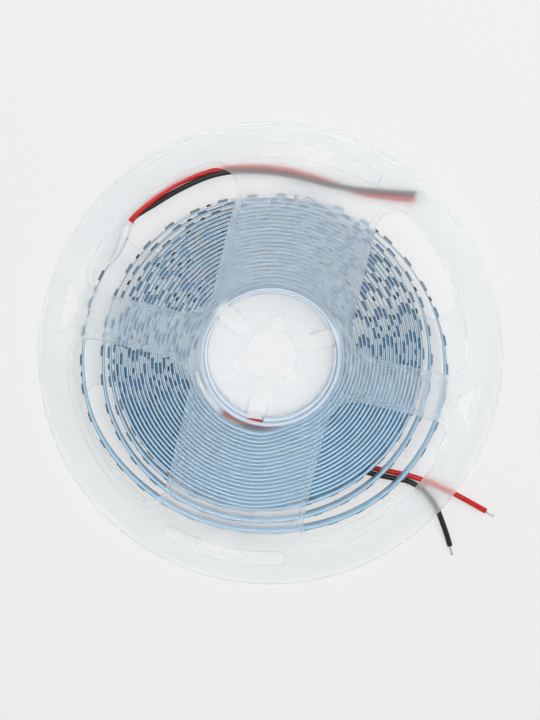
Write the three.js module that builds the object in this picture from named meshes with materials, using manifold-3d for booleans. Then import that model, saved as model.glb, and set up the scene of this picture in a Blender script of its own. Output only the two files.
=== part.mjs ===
// Two-flange plastic reel with a roll of flexible LED strip and its two pairs of leads.
// Millimetres, +Z up. The reel lies on its rear flange, and its axis is the Z axis.
// Angles are in degrees, counter-clockwise from +X, seen from above.

import * as THREE from 'three';
import { mergeVertices } from 'three/addons/utils/BufferGeometryUtils.js';
import Module from 'manifold-3d';

// Driving dimensions of the two flanges
const FLANGE_RADIUS = 66;
const PLATE_THICKNESS = 1.3;
const BEAD_HEIGHT = 0.5;
const RIM_BEAD_WIDTH = 1.7;
const WINDOW_BEAD_WIDTH = 2.0;
const FRONT_TURN = -13.5;
const REAR_TURN = FRONT_TURN + 90;

// Windows: each is bounded by a wide spoke, a narrow spoke and an outer arc
const WIDE_SPOKE_HALF = 20.3;
const NARROW_SPOKE_HALF = 6.7;
const WINDOW_RIM_WIDTH = 9.8;
const INNER_CORNER_RADIUS = 8.3;
const OUTER_CORNER_RADIUS = 5.8;

// Arc slots in the wide spokes and three-sided holes in the narrow ones
const SLOT_RIM_WIDTH = 5.25;
const SLOT_WIDTH = 4.1;
const SLOT_HALF_SPAN = 15.9;
const GATE_NUB_RADIUS = 1.1;
const TRIANGLE_RIM_WIDTH = 4.6;
const TRIANGLE_DEPTH = 9.0;
const TRIANGLE_HALF_SPAN = 6.6;
const TRIANGLE_SIDE_RADIUS = 15.9;
const TRIANGLE_TIP_RADIUS = 0.6;

// Hub: the front flange carries the drum, the rear flange a tube inside it
const DRUM_RADIUS = 19.9;
const DRUM_WALL = 0.8;
const HUB_CLEARANCE = 0.2;
const TUBE_WALL = 0.8;
const TUBE_RECESS = 1.9;
const WEB_THICKNESS = 1.2;
const WEB_RECESS = 4.6;
const SPINDLE_HOLE_RADIUS = 7.2;
const KEY_SLOT_WIDTH = 3.1;
const KEY_SLOT_REACH = 11.4;
const WIRE_SLOT_WIDTH = 5.0;
const WIRE_SLOT_REACH = 9.2;
const SLOT_COUNT = 3;

// Strip: a flexible board with a release tape, wound from the hub outwards
const STRIP_WIDTH = 8;
const STRIP_THICKNESS = 0.36;
const STRIP_END_CLEARANCE = 0.6;
const FIRST_TURN_CLEARANCE = 0.32;
const TIGHT_TURNS = 20.6;
const STEPS_PER_TURN = 32;
const RUN_STEP = 1;

// The roll bulges over the strip's inner end, its sleeve and leads: how far, and the angles
// between which the bulge rises and falls. The strip's last stretch rises only by the sleeve.
const ROLL_BULGE = 1.8;
const BULGE_RISE = [150, 190];
const BULGE_FALL = [258, 288];
const LAST_STRETCH = 180;

// Chips on the outward face of the strip
const CHIP_PITCH = 25 / 3;
const CHIP_LENGTH = 2.8;
const CHIP_WIDTH = 3.5;
const CHIP_HEIGHT = 0.65;
const RESISTOR_LENGTH = 1.25;
const RESISTOR_WIDTH = 2.0;
const RESISTOR_HEIGHT = 0.5;
const CHIPS_PER_RESISTOR = 3;
const CHIP_SINK = 0.12;
const CHIPPED_LENGTH = 660;

// Leads
const LEAD_DIAMETER = 1.6;
const LEAD_CLEARANCE = 0.2;
const LEAD_SIDES = 8;
const PAIR_SPACING = 1.72;
const TIP_DIAMETER = 0.75;
const TIP_LENGTH = 2.6;
const TIP_GAP = 0.3;
const SLEEVE_GAP = 0.45;

// Heat-shrink sleeves over the joints of strip and leads
const SLEEVE_START_HALF = 0.62;
const SLEEVE_END_HALF = 1.25;
const SLEEVE_COVER = 9.4;
const SLEEVE_SIDE_WALL = 0.4;
const SLEEVE_POCKET_CLEARANCE = 0.2;

// Straight steps in the round outlines
const RIM_STEPS = 80;
const HUB_STEPS = 48;
const SPINDLE_STEPS = 36;
const NUB_STEPS = 12;
const WINDOW_ARC_STEPS = 8;
const SLOT_ARC_STEPS = 8;
const CORNER_STEPS = 6;
const TRIANGLE_SIDE_STEPS = 5;
const TRIANGLE_TIP_STEPS = 4;
const APEX_STEPS = 2;

// How far a cutting shape runs past the faces that it cuts
const CUT_MARGIN = 1;

// Heights that follow from the sizes above
const REAR_INNER_FACE = BEAD_HEIGHT + PLATE_THICKNESS;
const STRIP_BOTTOM = REAR_INNER_FACE + LEAD_DIAMETER + 2 * LEAD_CLEARANCE;
const STRIP_TOP = STRIP_BOTTOM + STRIP_WIDTH;
const FRONT_INNER_FACE = STRIP_TOP + STRIP_END_CLEARANCE;
const FRONT_OUTER_FACE = FRONT_INNER_FACE + PLATE_THICKNESS;
const REEL_HEIGHT = FRONT_OUTER_FACE + BEAD_HEIGHT;
const LEAD_FLOOR = REAR_INNER_FACE + LEAD_CLEARANCE + LEAD_DIAMETER / 2;
const STRIP_MIDDLE = (STRIP_BOTTOM + STRIP_TOP) / 2;

// Radii that follow from the sizes above
const WINDOW_RADIUS = FLANGE_RADIUS - WINDOW_RIM_WIDTH;
const SLOT_MIDDLE_RADIUS = FLANGE_RADIUS - SLOT_RIM_WIDTH - SLOT_WIDTH / 2;
const TRIANGLE_BASE_RADIUS = FLANGE_RADIUS - TRIANGLE_RIM_WIDTH;
const BORE_RADIUS = DRUM_RADIUS - DRUM_WALL;
const TUBE_RADIUS = BORE_RADIUS - HUB_CLEARANCE;
const TUBE_INNER_RADIUS = TUBE_RADIUS - TUBE_WALL;
const FIRST_TURN_RADIUS = DRUM_RADIUS + FIRST_TURN_CLEARANCE + STRIP_THICKNESS / 2;

// The outer turns have sprung off the roll: [angle along the winding, radius]
const LOOSE_TURNS = [
  [140, 52.6], [176, 53.4], [200, 54.2], [230, 52.7], [270, 51.3], [310, 52.1], [336, 51.5],
  [360, 50.0], [385, 47.5], [410, 46.2], [450, 45.3], [465, 45.5], [490, 46.4], [515, 47.0],
  [540, 47.7], [560, 48.8], [590, 49.2], [630, 48.2], [670, 47.1], [720, 45.7], [765, 44.7],
  [810, 44.3], [830, 44.4], [875, 45.0], [920, 46.2], [950, 46.3], [1003, 44.3], [1040, 43.7],
  [1080, 43.3],
];

// Routes of the lead pairs: [x, y, rise of the pair's middle above a lead that lies on the
// rear flange, roll of the pair]. A roll of 0 has the red lead on the left of the black one,
// and a roll of 90 has it on top. The inner pair starts in its sleeve against the drum, at
// INNER_START_ANGLE, and its list goes on from there.
const OUTER_ROUTE = [
  [-40.5, 37.0, 5.0, 90], [-38.7, 39.5, 4.9, 80], [-36.5, 41.3, 4.7, 62], [-33.6, 43.3, 4.3, 40],
  [-29.7, 45.9, 3.7, 18], [-25.4, 48.3, 3.1, -8], [-20.0, 50.6, 2.3, -35], [-15.7, 51.8, 1.7, -55],
  [-10.5, 52.6, 1.2, -60], [-3.2, 52.7, 1.0, -50], [4.0, 51.9, 0.9, -50], [11.5, 50.2, 0.9, -60],
  [18.5, 48.2, 0.9, -80], [25.0, 46.6, 0.9, -120], [32.0, 45.6, 0.7, -150], [41.5, 44.8, 0.2, -178],
];
const INNER_START_ANGLE = 227;
const INNER_START_RISE = 5.0;
const INNER_START_ROLL = 90;
const INNER_ROUTE = [
  [-12.9, -17.2, 4.2, 90], [-10.7, -18.6, 2.4, 85], [-8.4, -19.9, 1.1, 65],
  [-5.8, -20.8, 0.3, 25], [-3.1, -21.4, 0.0, 0], [2.6, -22.9, 0.0, 0], [8.0, -25.3, 0.0, 0],
  [14.5, -28.3, 0.0, 0], [21.5, -31.6, 0.0, 0], [29.0, -34.6, 0.0, 0], [35.6, -36.1, 0.0, 0],
  [41.1, -37.4, 0.0, 0],
];
const INNER_RED_END = [
  [47.8, -38.9, 0.0], [53.0, -41.3, 0.0], [57.0, -43.5, -0.2], [61.0, -45.9, -1.2], [63.0, -47.1, -1.8],
];
const INNER_BLACK_END = [
  [45.6, -41.6, 0.0], [48.6, -46.0, 0.0], [50.4, -50.4, -0.2], [52.0, -55.0, -1.4], [52.7, -57.4, -1.8],
];

const MATERIALS = {
  frosted: new THREE.MeshStandardMaterial({
    color: 0xeef2f2, roughness: 0.45, metalness: 0, transparent: true, opacity: 0.55,
  }),
  strip: new THREE.MeshStandardMaterial({ color: 0xcfe2ee, roughness: 0.5, metalness: 0 }),
  sleeve: new THREE.MeshStandardMaterial({ color: 0xe8eef0, roughness: 0.3, metalness: 0 }),
  red: new THREE.MeshStandardMaterial({ color: 0xc4262b, roughness: 0.4, metalness: 0 }),
  black: new THREE.MeshStandardMaterial({ color: 0x1d1b1e, roughness: 0.4, metalness: 0 }),
  tinned: new THREE.MeshStandardMaterial({ color: 0xb9bcbe, roughness: 0.35, metalness: 1 }),
};

const wasm = await Module();
wasm.setup();

const radians = THREE.MathUtils.degToRad;
const degrees = THREE.MathUtils.radToDeg;

function onCircle(radius, angle, centre = [0, 0]) {
  const a = radians(angle);
  return new THREE.Vector2(centre[0] + radius * Math.cos(a), centre[1] + radius * Math.sin(a));
}

function arc(centre, radius, from, to, steps) {
  const points = [];
  for (let i = 0; i <= steps; i += 1) {
    points.push(onCircle(radius, from + ((to - from) * i) / steps, centre));
  }
  return points;
}

function circle(radius, steps, centre = [0, 0]) {
  return arc(centre, radius, 0, 360, steps).slice(0, -1);
}

// Prism of an outline with holes, from one height to another
function prism(outline, bottom, top, holes = []) {
  const shape = new THREE.Shape(outline);
  shape.holes = holes.map((hole) => new THREE.Path(hole));
  const geometry = new THREE.ExtrudeGeometry(shape, { depth: top - bottom, bevelEnabled: false });
  geometry.translate(0, 0, bottom);
  return geometry;
}

function toSolid(geometry) {
  const bare = geometry.clone();
  bare.deleteAttribute('normal');
  bare.deleteAttribute('uv');
  const merged = mergeVertices(bare, 1e-5);
  return new wasm.Manifold(new wasm.Mesh({
    numProp: 3,
    vertProperties: new Float32Array(merged.attributes.position.array),
    triVerts: new Uint32Array(merged.index.array),
  }));
}

function toGeometry(solid) {
  const mesh = solid.getMesh();
  const geometry = new THREE.BufferGeometry();
  geometry.setAttribute('position', new THREE.BufferAttribute(mesh.vertProperties, 3));
  geometry.setIndex(new THREE.BufferAttribute(mesh.triVerts, 1));
  geometry.computeVertexNormals();
  return geometry;
}

function joined(solids) {
  return solids.reduce((whole, solid) => whole.add(solid));
}

function turned(points, angle) {
  const centre = new THREE.Vector2(0, 0);
  return points.map((point) => point.clone().rotateAround(centre, radians(angle)));
}

// Centre of an outer window corner, which touches the narrow spoke and the outer arc
function narrowCornerCentre() {
  const across = NARROW_SPOKE_HALF + OUTER_CORNER_RADIUS;
  const reach = WINDOW_RADIUS - OUTER_CORNER_RADIUS;
  return [Math.sqrt(reach ** 2 - across ** 2), across];
}

// One window in a frame with the narrow spokes along X and the wide ones along Y,
// grown outwards by the width of its bead
function windowOutline(grown) {
  const reach = WINDOW_RADIUS - OUTER_CORNER_RADIUS;
  const innerRadius = INNER_CORNER_RADIUS + grown;
  const outerRadius = OUTER_CORNER_RADIUS + grown;
  const inner = [WIDE_SPOKE_HALF + INNER_CORNER_RADIUS, NARROW_SPOKE_HALF + INNER_CORNER_RADIUS];
  const wideX = WIDE_SPOKE_HALF + OUTER_CORNER_RADIUS;
  const wide = [wideX, Math.sqrt(reach ** 2 - wideX ** 2)];
  const narrow = narrowCornerCentre();
  const wideAngle = degrees(Math.atan2(wide[1], wide[0]));
  const narrowAngle = degrees(Math.atan2(narrow[1], narrow[0]));
  return [
    ...arc(inner, innerRadius, 270, 180, CORNER_STEPS),
    ...arc(wide, outerRadius, 180, wideAngle, CORNER_STEPS),
    ...arc([0, 0], WINDOW_RADIUS + grown, wideAngle, narrowAngle, WINDOW_ARC_STEPS).slice(1, -1),
    ...arc(narrow, outerRadius, narrowAngle, -90, CORNER_STEPS),
  ];
}

// The same outline in the four quarters of the flange
function fourWindows(grown) {
  const quarter = windowOutline(grown);
  const signs = [[1, 1], [-1, 1], [-1, -1], [1, -1]];
  return signs.map(([sx, sy]) => quarter.map((p) => new THREE.Vector2(p.x * sx, p.y * sy)));
}

function arcSlotOutline(middleAngle) {
  const half = SLOT_WIDTH / 2;
  const from = middleAngle - SLOT_HALF_SPAN;
  const to = middleAngle + SLOT_HALF_SPAN;
  const start = onCircle(SLOT_MIDDLE_RADIUS, from);
  const end = onCircle(SLOT_MIDDLE_RADIUS, to);
  return [
    ...arc([0, 0], SLOT_MIDDLE_RADIUS + half, from, to, SLOT_ARC_STEPS),
    ...arc([end.x, end.y], half, to, to + 180, CORNER_STEPS).slice(1, -1),
    ...arc([0, 0], SLOT_MIDDLE_RADIUS - half, to, from, SLOT_ARC_STEPS),
    ...arc([start.x, start.y], half, from + 180, from + 360, CORNER_STEPS).slice(1, -1),
  ];
}

// Three-sided hole on the +X spoke: its base runs along the rim, and its sides curve inwards
// from the two rounded ends of the base to an apex that points at the hub
function triangleOutline() {
  const side = TRIANGLE_SIDE_RADIUS + TRIANGLE_TIP_RADIUS;
  const tip = onCircle(TRIANGLE_BASE_RADIUS - TRIANGLE_TIP_RADIUS, TRIANGLE_HALF_SPAN);
  const apex = onCircle(TRIANGLE_BASE_RADIUS - TRIANGLE_DEPTH + TRIANGLE_TIP_RADIUS, 0);
  const chord = tip.clone().sub(apex);
  const across = new THREE.Vector2(-chord.y, chord.x).normalize();
  const rise = Math.sqrt(side ** 2 - chord.lengthSq() / 4);
  const centre = apex.clone().addScaledVector(chord, 1 / 2).addScaledVector(across, rise);
  const sideFrom = degrees(Math.atan2(tip.y - centre.y, tip.x - centre.x));
  const sideTo = degrees(Math.atan2(apex.y - centre.y, apex.x - centre.x));
  const middle = [centre.x, centre.y];
  const half = [
    ...arc([tip.x, tip.y], TRIANGLE_TIP_RADIUS, TRIANGLE_HALF_SPAN, sideFrom + 180, TRIANGLE_TIP_STEPS),
    ...arc(middle, TRIANGLE_SIDE_RADIUS, sideFrom, sideTo, TRIANGLE_SIDE_STEPS).slice(1),
    ...arc([apex.x, apex.y], TRIANGLE_TIP_RADIUS, sideTo + 180, 180, APEX_STEPS).slice(1),
  ];
  const mirrored = half.map((p) => new THREE.Vector2(p.x, -p.y)).reverse();
  const base = arc(
    [0, 0], TRIANGLE_BASE_RADIUS, -TRIANGLE_HALF_SPAN, TRIANGLE_HALF_SPAN, TRIANGLE_TIP_STEPS,
  );
  return [...half, ...mirrored.slice(1, -1), ...base.slice(0, -1)];
}

// Straight slot from one radius to another, rounded at its inner end
function radialSlotOutline(width, innerReach, outerReach, angle) {
  const half = width / 2;
  const points = [
    new THREE.Vector2(outerReach, -half),
    new THREE.Vector2(outerReach, half),
    ...arc([innerReach + half, 0], half, 90, 270, CORNER_STEPS),
  ];
  return turned(points, angle);
}

function slotAngles(first) {
  return Array.from({ length: SLOT_COUNT }, (_, i) => first + (360 / SLOT_COUNT) * i);
}

// Flat plate with its raised beads and all its openings. The beads are on the side that
// looks away from the strip; facing is 1 for the front flange and -1 for the rear one.
function flangePlate(turn, innerFace, facing, openRadius) {
  const outerFace = innerFace + facing * PLATE_THICKNESS;
  const beadFace = outerFace + facing * BEAD_HEIGHT;
  const low = Math.min(innerFace, beadFace);
  const high = Math.max(innerFace, beadFace);
  const disc = toSolid(prism(circle(FLANGE_RADIUS, RIM_STEPS), low, high));
  const islands = fourWindows(WINDOW_BEAD_WIDTH).map((outline) => turned(outline, turn));
  const recess = toSolid(prism(
    circle(FLANGE_RADIUS - RIM_BEAD_WIDTH, RIM_STEPS),
    Math.min(outerFace, beadFace + facing * CUT_MARGIN),
    Math.max(outerFace, beadFace + facing * CUT_MARGIN),
    islands,
  ));
  const cuts = [
    ...fourWindows(0),
    arcSlotOutline(90),
    arcSlotOutline(-90),
    triangleOutline(),
    triangleOutline().map((p) => new THREE.Vector2(-p.x, -p.y)),
  ].map((outline) => toSolid(prism(turned(outline, turn), low - CUT_MARGIN, high + CUT_MARGIN)));
  const bore = toSolid(prism(circle(openRadius, HUB_STEPS), low - CUT_MARGIN, high + CUT_MARGIN));
  return disc.subtract(recess).subtract(joined([...cuts, bore]));
}

function ring(outerRadius, innerRadius, bottom, top) {
  return toSolid(prism(circle(outerRadius, HUB_STEPS), bottom, top, [circle(innerRadius, HUB_STEPS)]));
}

function wireSlots(bottom, top, turn) {
  return joined(slotAngles(turn - 90).map((angle) => toSolid(prism(
    radialSlotOutline(WIRE_SLOT_WIDTH, WIRE_SLOT_REACH, DRUM_RADIUS + CUT_MARGIN, angle), bottom, top,
  ))));
}

// Front flange: plate, raised ring round the bore and the drum that the strip is wound on
function frontFlange() {
  const plate = flangePlate(FRONT_TURN, FRONT_INNER_FACE, 1, BORE_RADIUS);
  const drum = ring(DRUM_RADIUS, BORE_RADIUS, REAR_INNER_FACE + HUB_CLEARANCE, REEL_HEIGHT);
  const slots = wireSlots(REAR_INNER_FACE, FRONT_INNER_FACE, FRONT_TURN);
  const nubPlace = onCircle(SLOT_MIDDLE_RADIUS + SLOT_WIDTH / 2, FRONT_TURN + 90);
  const nub = toSolid(prism(
    circle(GATE_NUB_RADIUS, NUB_STEPS, [nubPlace.x, nubPlace.y]), FRONT_INNER_FACE, FRONT_OUTER_FACE,
  ));
  return plate.add(drum).add(nub).subtract(slots);
}

// Rear flange: plate, tube inside the drum and the web with the spindle hole
function rearFlange() {
  const plate = flangePlate(REAR_TURN, REAR_INNER_FACE, -1, TUBE_INNER_RADIUS);
  const tubeTop = REEL_HEIGHT - TUBE_RECESS;
  const tube = ring(TUBE_RADIUS, TUBE_INNER_RADIUS, BEAD_HEIGHT, tubeTop);
  const webTop = REEL_HEIGHT - WEB_RECESS;
  const webOutline = circle(TUBE_RADIUS - TUBE_WALL / 2, HUB_STEPS);
  const web = toSolid(prism(webOutline, webTop - WEB_THICKNESS, webTop));
  const keySlots = slotAngles(FRONT_TURN + 90).map((angle) => toSolid(prism(
    radialSlotOutline(KEY_SLOT_WIDTH, -KEY_SLOT_REACH, 0, angle + 180),
    webTop - WEB_THICKNESS - CUT_MARGIN,
    webTop + CUT_MARGIN,
  )));
  const hole = toSolid(prism(
    circle(SPINDLE_HOLE_RADIUS, SPINDLE_STEPS), webTop - WEB_THICKNESS - CUT_MARGIN, webTop + CUT_MARGIN,
  ));
  const slots = wireSlots(REAR_INNER_FACE, REEL_HEIGHT, FRONT_TURN);
  return plate.add(tube).add(web).subtract(joined([...keySlots, hole, slots]));
}

// Rise of the strip's inner end, whose sleeve lies against the drum
const SLEEVE_LIFT = DRUM_RADIUS + FIRST_TURN_CLEARANCE + SLEEVE_END_HALF - FIRST_TURN_RADIUS;

// Bulge of the whole roll at an angle
function bulge(angle) {
  const a = angle % 360;
  const rise = THREE.MathUtils.smoothstep(a, ...BULGE_RISE);
  const fall = 1 - THREE.MathUtils.smoothstep(a, ...BULGE_FALL);
  return ROLL_BULGE * rise * fall;
}

// Radius of the strip's middle at an angle along the winding, from its outer end inwards
const LOOSE_END = LOOSE_TURNS[LOOSE_TURNS.length - 1];
const looseCurve = new THREE.SplineCurve(
  LOOSE_TURNS.map(([angle, radius]) => new THREE.Vector2(angle, radius)),
);

function looseRadius(angle) {
  const index = LOOSE_TURNS.findIndex(([a]) => a >= angle);
  const last = Math.max(index, 1);
  const [from] = LOOSE_TURNS[last - 1];
  const [to] = LOOSE_TURNS[last];
  const share = (last - 1 + (angle - from) / (to - from)) / (LOOSE_TURNS.length - 1);
  return looseCurve.getPoint(THREE.MathUtils.clamp(share, 0, 1)).y;
}

const INNER_END = LOOSE_END[0] + 360 * TIGHT_TURNS;
const TURN_PITCH = (LOOSE_END[1] - FIRST_TURN_RADIUS) / TIGHT_TURNS;

function stripRadius(angle) {
  if (angle <= LOOSE_END[0]) {
    return looseRadius(angle);
  }
  const round = LOOSE_END[1] - (TURN_PITCH * (angle - LOOSE_END[0])) / 360;
  const share = angle > INNER_END - LAST_STRETCH ? SLEEVE_LIFT / ROLL_BULGE : 1;
  return round + bulge(angle) * share;
}

function stripPoint(angle) {
  return onCircle(stripRadius(angle), angle);
}

// Outline of a band that follows a line of points, with a half thickness at each point
function bandOutline(points, halves) {
  const left = [];
  const right = [];
  points.forEach((point, i) => {
    const before = points[Math.max(i - 1, 0)];
    const after = points[Math.min(i + 1, points.length - 1)];
    const along = after.clone().sub(before).normalize();
    const across = new THREE.Vector2(-along.y, along.x);
    left.push(point.clone().addScaledVector(across, halves[i]));
    right.push(point.clone().addScaledVector(across, -halves[i]));
  });
  return [...left, ...right.reverse()];
}

// Angles of the corners of the faceted winding, from the strip's outer end to its inner end
function windingAngles() {
  const step = 360 / STEPS_PER_TURN;
  const from = LOOSE_TURNS[0][0];
  const angles = [from];
  for (let a = Math.ceil((from + 1) / step) * step; a < INNER_END - 1; a += step) {
    angles.push(a);
  }
  angles.push(INNER_END);
  return angles;
}

const WINDING = windingAngles();

// Place on the straight stretch of the winding that holds an angle, and its direction
function placeOnStrip(angle) {
  const found = WINDING.findIndex((a) => a > angle);
  const next = found < 0 ? WINDING.length - 1 : Math.max(1, found);
  const start = stripPoint(WINDING[next - 1]);
  const along = stripPoint(WINDING[next]).sub(start);
  const share = (angle - WINDING[next - 1]) / (WINDING[next] - WINDING[next - 1]);
  return { point: start.clone().addScaledVector(along, share), along: along.normalize() };
}

// Points of the strip between two angles, with its corners between them
function stripStretch(from, to) {
  const low = Math.min(from, to);
  const high = Math.max(from, to);
  const corners = WINDING.filter((a) => a > low && a < high);
  const angles = [low, ...corners, high];
  const points = angles.map((angle) => placeOnStrip(angle).point);
  return from < to ? points : points.reverse();
}

// One small block on the outward face of the strip
function chipSolid(angle, length, width, height) {
  const { point, along } = placeOnStrip(angle);
  const outward = new THREE.Vector2(along.y, -along.x);
  const depth = height + CHIP_SINK;
  const middle = point.addScaledVector(outward, STRIP_THICKNESS / 2 - CHIP_SINK + depth / 2);
  const block = new THREE.BoxGeometry(length, depth, width);
  block.rotateZ(Math.atan2(along.y, along.x));
  block.translate(middle.x, middle.y, STRIP_MIDDLE);
  return toSolid(block);
}

// The roll as one solid, with the chips of its sprung outer turns
function ledStrip() {
  const points = WINDING.map(stripPoint);
  const outline = bandOutline(points, points.map(() => STRIP_THICKNESS / 2));
  const board = toSolid(prism(outline, STRIP_BOTTOM, STRIP_TOP));
  const chips = [];
  let angle = LOOSE_TURNS[0][0];
  let count = 0;
  for (let run = SLEEVE_COVER + CHIP_PITCH / 2; run < CHIPPED_LENGTH; run += CHIP_PITCH / 2) {
    angle = angleAfter(run);
    if (count % 2 === 0) {
      chips.push(chipSolid(angle, CHIP_LENGTH, CHIP_WIDTH, CHIP_HEIGHT));
    } else if (count % (2 * CHIPS_PER_RESISTOR) === 1) {
      chips.push(chipSolid(angle, RESISTOR_LENGTH, RESISTOR_WIDTH, RESISTOR_HEIGHT));
    }
    count += 1;
  }
  return board.add(joined(chips));
}

// Angle along the winding after a length of strip from its outer end
function angleAfter(run) {
  let angle = LOOSE_TURNS[0][0];
  let passed = 0;
  while (passed < run) {
    passed += radians(RUN_STEP) * stripRadius(angle);
    angle += RUN_STEP;
  }
  return angle - degrees((passed - run) / stripRadius(angle));
}

// Sleeve over a strip end and its solder joints: thin on the strip, thick on the leads.
// covered lists points of the strip from where the sleeve starts to the strip's end.
function sleeve(covered, beyond) {
  const points = [...covered, ...beyond];
  const halves = points.map((_, i) => THREE.MathUtils.lerp(
    SLEEVE_START_HALF, SLEEVE_END_HALF, Math.min(i / (covered.length - 1), 1),
  ));
  const body = toSolid(prism(
    bandOutline(points, halves), STRIP_BOTTOM - SLEEVE_SIDE_WALL, STRIP_TOP + SLEEVE_SIDE_WALL,
  ));
  const pocketHalf = STRIP_THICKNESS / 2 + SLEEVE_POCKET_CLEARANCE;
  const first = covered[0].clone().sub(covered[1]).normalize();
  const last = covered[covered.length - 1].clone().sub(covered[covered.length - 2]).normalize();
  const pocketLine = [
    covered[0].clone().add(first),
    ...covered,
    covered[covered.length - 1].clone().addScaledVector(last, SLEEVE_POCKET_CLEARANCE),
  ];
  const pocket = toSolid(prism(
    bandOutline(pocketLine, pocketLine.map(() => pocketHalf)),
    STRIP_BOTTOM - SLEEVE_POCKET_CLEARANCE,
    STRIP_TOP + SLEEVE_POCKET_CLEARANCE,
  ));
  return body.subtract(pocket);
}

function outerSleeve() {
  const end = LOOSE_TURNS[0][0];
  const start = end + degrees(SLEEVE_COVER / stripRadius(end));
  const covered = stripStretch(start, end);
  return sleeve(covered, towards(covered, OUTER_ROUTE[0]));
}

function innerSleeve() {
  const start = INNER_END - degrees(SLEEVE_COVER / stripRadius(INNER_END));
  const covered = stripStretch(start, INNER_END);
  return sleeve(covered, towards(covered, innerRoute()[0]));
}

function innerRoute() {
  const start = onCircle(stripRadius(INNER_END), INNER_START_ANGLE);
  return [[start.x, start.y, INNER_START_RISE, INNER_START_ROLL], ...INNER_ROUTE];
}

// Points from the strip's end to a gap short of where the leads start
function towards(covered, target) {
  const end = covered[covered.length - 1];
  const goal = new THREE.Vector2(target[0], target[1]);
  const reach = goal.clone().sub(end);
  const along = reach.clone().normalize();
  return [end.clone().addScaledVector(along, reach.length() - SLEEVE_GAP)];
}

// The two leads of a pair, side by side along one route
function pairPoints(route) {
  const middles = route.map(([x, y, rise]) => new THREE.Vector3(x, y, LEAD_FLOOR + rise));
  const red = [];
  const black = [];
  middles.forEach((middle, i) => {
    const before = middles[Math.max(i - 1, 0)];
    const after = middles[Math.min(i + 1, middles.length - 1)];
    const forward = after.clone().sub(before).normalize();
    const left = new THREE.Vector3(-forward.y, forward.x, 0).normalize();
    const above = forward.clone().cross(left);
    const roll = radians(route[i][3]);
    const offset = left.multiplyScalar(Math.cos(roll)).addScaledVector(above, Math.sin(roll));
    offset.multiplyScalar(PAIR_SPACING / 2);
    red.push(middle.clone().add(offset));
    black.push(middle.clone().sub(offset));
  });
  return { red, black };
}

function regularSection(diameter) {
  return new THREE.Shape(circle(diameter / 2, LEAD_SIDES));
}

function tube(points, diameter) {
  const curve = new THREE.CatmullRomCurve3(points, false, 'centripetal');
  const steps = Math.max(1, Math.round(curve.getLength() / (LEAD_DIAMETER * 2)));
  return new THREE.ExtrudeGeometry(regularSection(diameter), {
    steps: points.length > 2 ? steps : 1, extrudePath: curve, bevelEnabled: false,
  });
}

// Bare tinned end in line with the last stretch of a lead
function tipPoints(points) {
  const last = points[points.length - 1];
  const along = last.clone().sub(points[points.length - 2]);
  along.z = 0;
  along.normalize();
  const start = last.clone().addScaledVector(along, TIP_GAP);
  return [start, start.clone().addScaledVector(along, TIP_LENGTH)];
}

function endPoints(list) {
  return list.map(([x, y, rise]) => new THREE.Vector3(x, y, LEAD_FLOOR + rise));
}

const reel = new THREE.Group();

function addNode(name, geometry, material) {
  const mesh = new THREE.Mesh(geometry, material);
  mesh.name = name;
  reel.add(mesh);
}

addNode('rear_flange', toGeometry(rearFlange()), MATERIALS.frosted);
addNode('front_flange', toGeometry(frontFlange()), MATERIALS.frosted);
addNode('led_strip', toGeometry(ledStrip()), MATERIALS.strip);
addNode('outer_heat_shrink', toGeometry(outerSleeve()), MATERIALS.sleeve);
addNode('inner_heat_shrink', toGeometry(innerSleeve()), MATERIALS.sleeve);

const outerPair = pairPoints(OUTER_ROUTE);
const innerPair = pairPoints(innerRoute());
const leads = {
  outer_red: outerPair.red,
  outer_black: outerPair.black,
  inner_red: [...innerPair.red, ...endPoints(INNER_RED_END)],
  inner_black: [...innerPair.black, ...endPoints(INNER_BLACK_END)],
};
for (const [name, points] of Object.entries(leads)) {
  const material = name.endsWith('red') ? MATERIALS.red : MATERIALS.black;
  addNode(`${name}_lead`, tube(points, LEAD_DIAMETER), material);
  addNode(`${name}_tip`, tube(tipPoints(points), TIP_DIAMETER), MATERIALS.tinned);
}

export default reel;
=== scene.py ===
"""The looks of a two-flange reel with a roll of LED strip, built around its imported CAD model.

Lengths are written in millimetres and become metres where a mesh or curve is made.
Angles are in degrees, counter-clockwise from +X, seen from above.
"""

import math
from functools import partial

import bmesh
import bpy
from mathutils import Matrix, Vector
from mathutils.geometry import tessellate_polygon


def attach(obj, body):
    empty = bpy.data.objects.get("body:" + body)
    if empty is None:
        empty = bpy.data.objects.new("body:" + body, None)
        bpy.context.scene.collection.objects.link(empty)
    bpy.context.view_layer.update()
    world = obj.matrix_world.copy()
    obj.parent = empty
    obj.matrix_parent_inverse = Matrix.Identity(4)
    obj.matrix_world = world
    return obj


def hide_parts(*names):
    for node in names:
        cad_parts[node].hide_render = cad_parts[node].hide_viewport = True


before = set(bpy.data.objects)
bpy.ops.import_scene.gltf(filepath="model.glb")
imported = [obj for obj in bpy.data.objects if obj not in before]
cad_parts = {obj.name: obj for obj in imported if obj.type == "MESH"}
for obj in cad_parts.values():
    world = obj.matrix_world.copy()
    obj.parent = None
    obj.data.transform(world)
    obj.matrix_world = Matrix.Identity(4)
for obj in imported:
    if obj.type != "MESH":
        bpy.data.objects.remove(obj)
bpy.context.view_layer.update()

MM = 0.001
BODY = "root"

# Camera, found from the photograph: it looks down on the reel, leaning towards +Y
CAMERA_TARGET = (-0.16, -0.75, 14.2)
CAMERA_DISTANCE = 775.3
CAMERA_TILT = 8.171
CAMERA_SIDE = -0.845
CAMERA_LENS = 136.4
CAMERA_SENSOR = 36

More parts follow.
